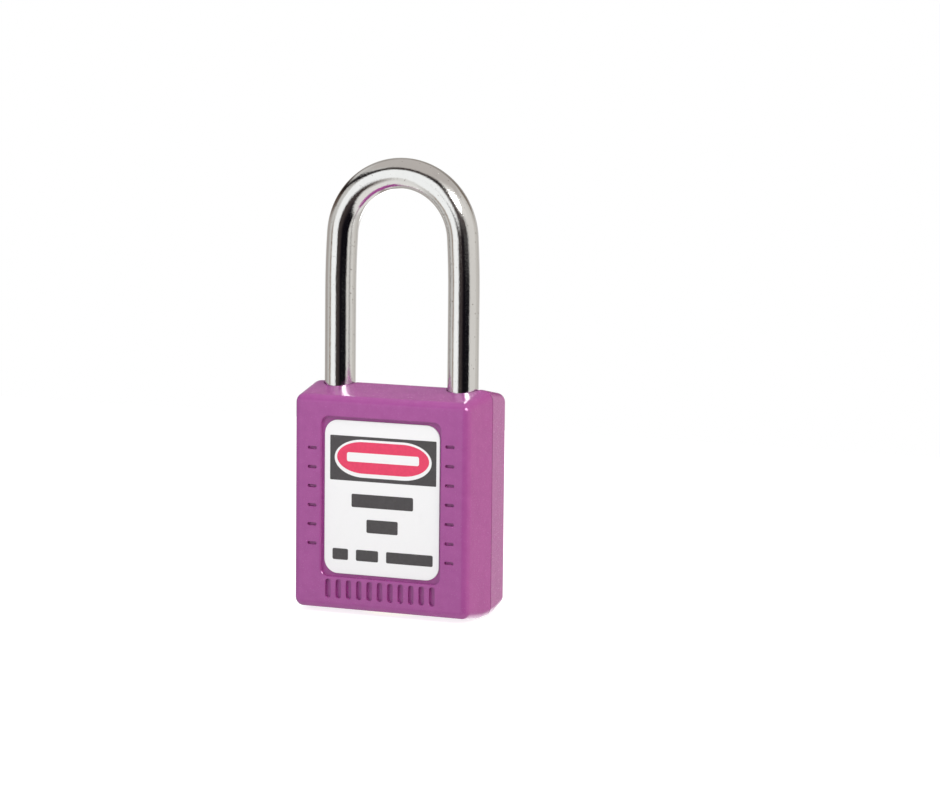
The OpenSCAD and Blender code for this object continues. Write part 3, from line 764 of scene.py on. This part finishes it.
# %% [markdown]
# ## Bent wire
# A bender leaves the legs leaning in by a few degrees before the real bend begins, so the arch is three
# arcs that meet without a kink: wide, tight, wide. A curve with a round profile would be quicker, but
# it only comes near to true arcs. So a circle is extruded up the long leg, spun round the middle of
# each arc, and extruded down the short leg. The notches, the turned neck and the flat for the balls
# are then cut below the mouth of the holes, where they only show once the shackle is lifted.

# %% Measures of the wire, millimetres
WIRE, ARCH_TOP = 3.05, 85.65
LEAN_RADIUS, LEAN = 178.0, math.radians(3.56)
BEND_RADIUS = LEAN_RADIUS - (LEAN_RADIUS - LEG_X) / math.cos(LEAN)
BEND_Z = ARCH_TOP - BEND_RADIUS
LEAN_Z = BEND_Z - (LEAN_RADIUS - BEND_RADIUS) * math.sin(LEAN)
LONG_END, SHORT_END, LEG_CHAMFER = 15.13, 30.9, 0.8
LONG_RING, SHORT_RING, TOP_RING = 40, 42, 50
LEAN_STEPS, BEND_STEPS = 4, 96
WIRE_GAP = 0.001
print("radius of the tight bend in mm:", round(BEND_RADIUS, 2), "from z", round(BEND_Z, 2))


# %% The bent wire
def grow(bm, edges, rise, radius_change=0.0):
    """Extrudes a ring of edges straight up or down, and opens or closes it."""
    out = bmesh.ops.extrude_edge_only(bm, edges=edges)["geom"]
    verts = [g for g in out if isinstance(g, bmesh.types.BMVert)]
    centre = sum((v.co for v in verts), Vector()) / len(verts)
    for v in verts:
        v.co += Vector((0, 0, rise * MM)) + (v.co - centre).normalized() * radius_change * MM
    return [g for g in out if isinstance(g, bmesh.types.BMEdge)]


wire = bmesh.new()
under_long_leg = Matrix.Translation(Vector((-LEG_X, 0, LONG_END)) * MM)
ring = bmesh.ops.create_circle(wire, segments=SIDES, radius=(WIRE - LEG_CHAMFER) * MM,
                               matrix=under_long_leg)["verts"]
bottom_edges = list({e for v in ring for e in v.link_edges})
edges = grow(wire, bottom_edges, LEG_CHAMFER, LEG_CHAMFER)
edges = grow(wire, edges, LONG_RING - LONG_END - LEG_CHAMFER)
edges = grow(wire, edges, TOP_RING - LONG_RING)
edges = grow(wire, edges, LEAN_Z - TOP_RING)
for middle, height, turn, steps in ((LEAN_RADIUS - LEG_X, LEAN_Z, LEAN, LEAN_STEPS),
                                    (0, BEND_Z, math.pi - 2 * LEAN, BEND_STEPS),
                                    (LEG_X - LEAN_RADIUS, LEAN_Z, LEAN, LEAN_STEPS)):
    spun = bmesh.ops.spin(wire, geom=edges, cent=Vector((middle, 0, height)) * MM, axis=(0, 1, 0),
                          angle=turn, steps=steps)["geom_last"]
    edges = [g for g in spun if isinstance(g, bmesh.types.BMEdge)]
edges = grow(wire, edges, TOP_RING - LEAN_Z)
edges = grow(wire, edges, SHORT_RING - TOP_RING)
edges = grow(wire, edges, SHORT_END + LEG_CHAMFER - SHORT_RING)
edges = grow(wire, edges, -LEG_CHAMFER, -LEG_CHAMFER)
bmesh.ops.edgeloop_fill(wire, edges=bottom_edges)
bmesh.ops.edgeloop_fill(wire, edges=edges)
bmesh.ops.remove_doubles(wire, verts=wire.verts, dist=WIRE_GAP * MM)
bmesh.ops.recalc_face_normals(wire, faces=wire.faces)
print("wire faces:", len(wire.faces), "top in mm:", round(max(v.co.z for v in wire.verts) / MM, 2))

# %% Notches for the balls
NECK_Z, GROOVE, LOCKED_BALL, FLAT_X = 21.1, 2.7, 8.7, 10.7
CUTTER_WIDTH = 10

for side in (-1, 1):
    x, y = side * LOCKED_BALL, CUTTER_WIDTH / 2
    wire = cut(wire, rod(GROOVE, (x, -y, BALL_Z), (x, y, BALL_Z)))
print("wire faces:", len(wire.faces))

# %% Neck and flat of the long leg
neck = bmesh.new()
bmesh.ops.create_circle(neck, cap_ends=False, segments=48, radius=GROOVE * MM)
bmesh.ops.rotate(neck, verts=neck.verts, cent=(0, 0, 0), matrix=Matrix.Rotation(math.pi / 2, 3, "X"))
bmesh.ops.translate(neck, verts=neck.verts, vec=Vector((-LOCKED_BALL, 0, NECK_Z)) * MM)
bmesh.ops.spin(neck, geom=neck.verts[:] + neck.edges[:], cent=Vector((-LEG_X, 0, NECK_Z)) * MM,
               axis=(0, 0, 1), angle=math.tau, steps=SIDES, use_merge=True)
bmesh.ops.remove_doubles(neck, verts=neck.verts, dist=WIRE_GAP * MM)
bmesh.ops.recalc_face_normals(neck, faces=neck.faces)
wire = cut(wire, neck)
wire = cut(wire, block((-FLAT_X / 2, 0, (NECK_Z + BALL_Z) / 2),
                       (FLAT_X, CUTTER_WIDTH, BALL_Z - NECK_Z)))
shackle = make_object("shackle_wire", wire)
finish_piece(shackle, plating, "shackle", "plated_shackle", WIRE_SHARP, "shackle")

# %% [markdown]
# ## Metal inside
# The cylinder, plug, cam, balls, pins and springs keep their CAD shapes. Each gets the finish of its
# own making: turned brass has fine rings round its axis, drawn strip has long scratches, and balls are
# polished. One metal for all would be less work, but from below one sees the turned plug in its drawn
# housing. The pattern follows the axis of the machine that made the piece.

# %% Turned, drawn and polished metals
STAINED, STAINS = 0.82, 2.5


def metal(name, colour, roughness, line_size, stretch, depth):
    """Metal with fine machining lines; stretch flattens the noise into lines."""
    material, tree, output = new_material(name)
    lines = pattern(tree, line_size, detail=4, stretch=stretch)
    stain = pattern(tree, STAINS, detail=3)
    darker = tuple(c * STAINED for c in colour)
    surface = add(tree, "ShaderNodeBsdfPrincipled", {
        "Base Color": tinted(tree, shift(tree, stain, 0, 1), colour, darker),
        "Metallic": 1.0,
        "Roughness": shift(tree, lines, roughness - 0.06, roughness + 0.08),
        "Normal": bumps(tree, lines, depth, strength=0.4),
    })
    tree.links.new(surface.outputs[0], output.inputs["Surface"])
    return material


# name, colour, roughness, size of the lines in mm, their stretch along X, Y and Z, their depth in mm
drawn_brass = metal("drawn_brass", (0.78, 0.56, 0.24), 0.30, 0.25, (1, 1, 0.05), 0.008)
turned_brass = metal("turned_brass", (0.83, 0.62, 0.28), 0.22, 0.12, (0.1, 0.1, 1), 0.006)
pin_brass = metal("pin_brass", (0.85, 0.66, 0.32), 0.18, 0.10, (1, 0.1, 0.1), 0.004)
strip_steel = metal("strip_steel", (0.62, 0.63, 0.65), 0.30, 0.15, (1, 1, 0.05), 0.006)
dark_steel = metal("dark_steel", (0.30, 0.31, 0.33), 0.36, 0.20, (1, 1, 1), 0.010)
cam_steel = metal("cam_steel", (0.50, 0.51, 0.53), 0.34, 0.30, (1, 1, 1), 0.010)
turned_steel = metal("turned_steel", (0.68, 0.69, 0.71), 0.20, 0.10, (0.1, 1, 1), 0.004)
ball_steel = metal("ball_steel", (0.78, 0.79, 0.80), 0.07, 0.30, (1, 1, 1), 0.001)
spring_steel = metal("spring_steel", (0.66, 0.66, 0.68), 0.24, 0.15, (1, 1, 1), 0.004)

FINISHES = {
    "cylinder_housing": drawn_brass, "plug": turned_brass, "key_pin": pin_brass,
    "driver_pin": turned_steel, "pin_spring": spring_steel, "chamber_cover": strip_steel,
    "cylinder_screw": dark_steel, "plug_clip": strip_steel, "cam": cam_steel,
    "toe_ball": ball_steel, "heel_ball": ball_steel,
}
print("finishes:", len(FINISHES))

# %% Give each kept CAD node its finish
kept = 0
for name, node in sorted(frame["nodes"].items()):
    kind = name.rstrip("0123456789").rstrip("_")
    if kind in FINISHES:
        node.data.materials.clear()
        node.data.materials.append(FINISHES[kind])
        kept += 1
print("CAD nodes with a finish:", kept)
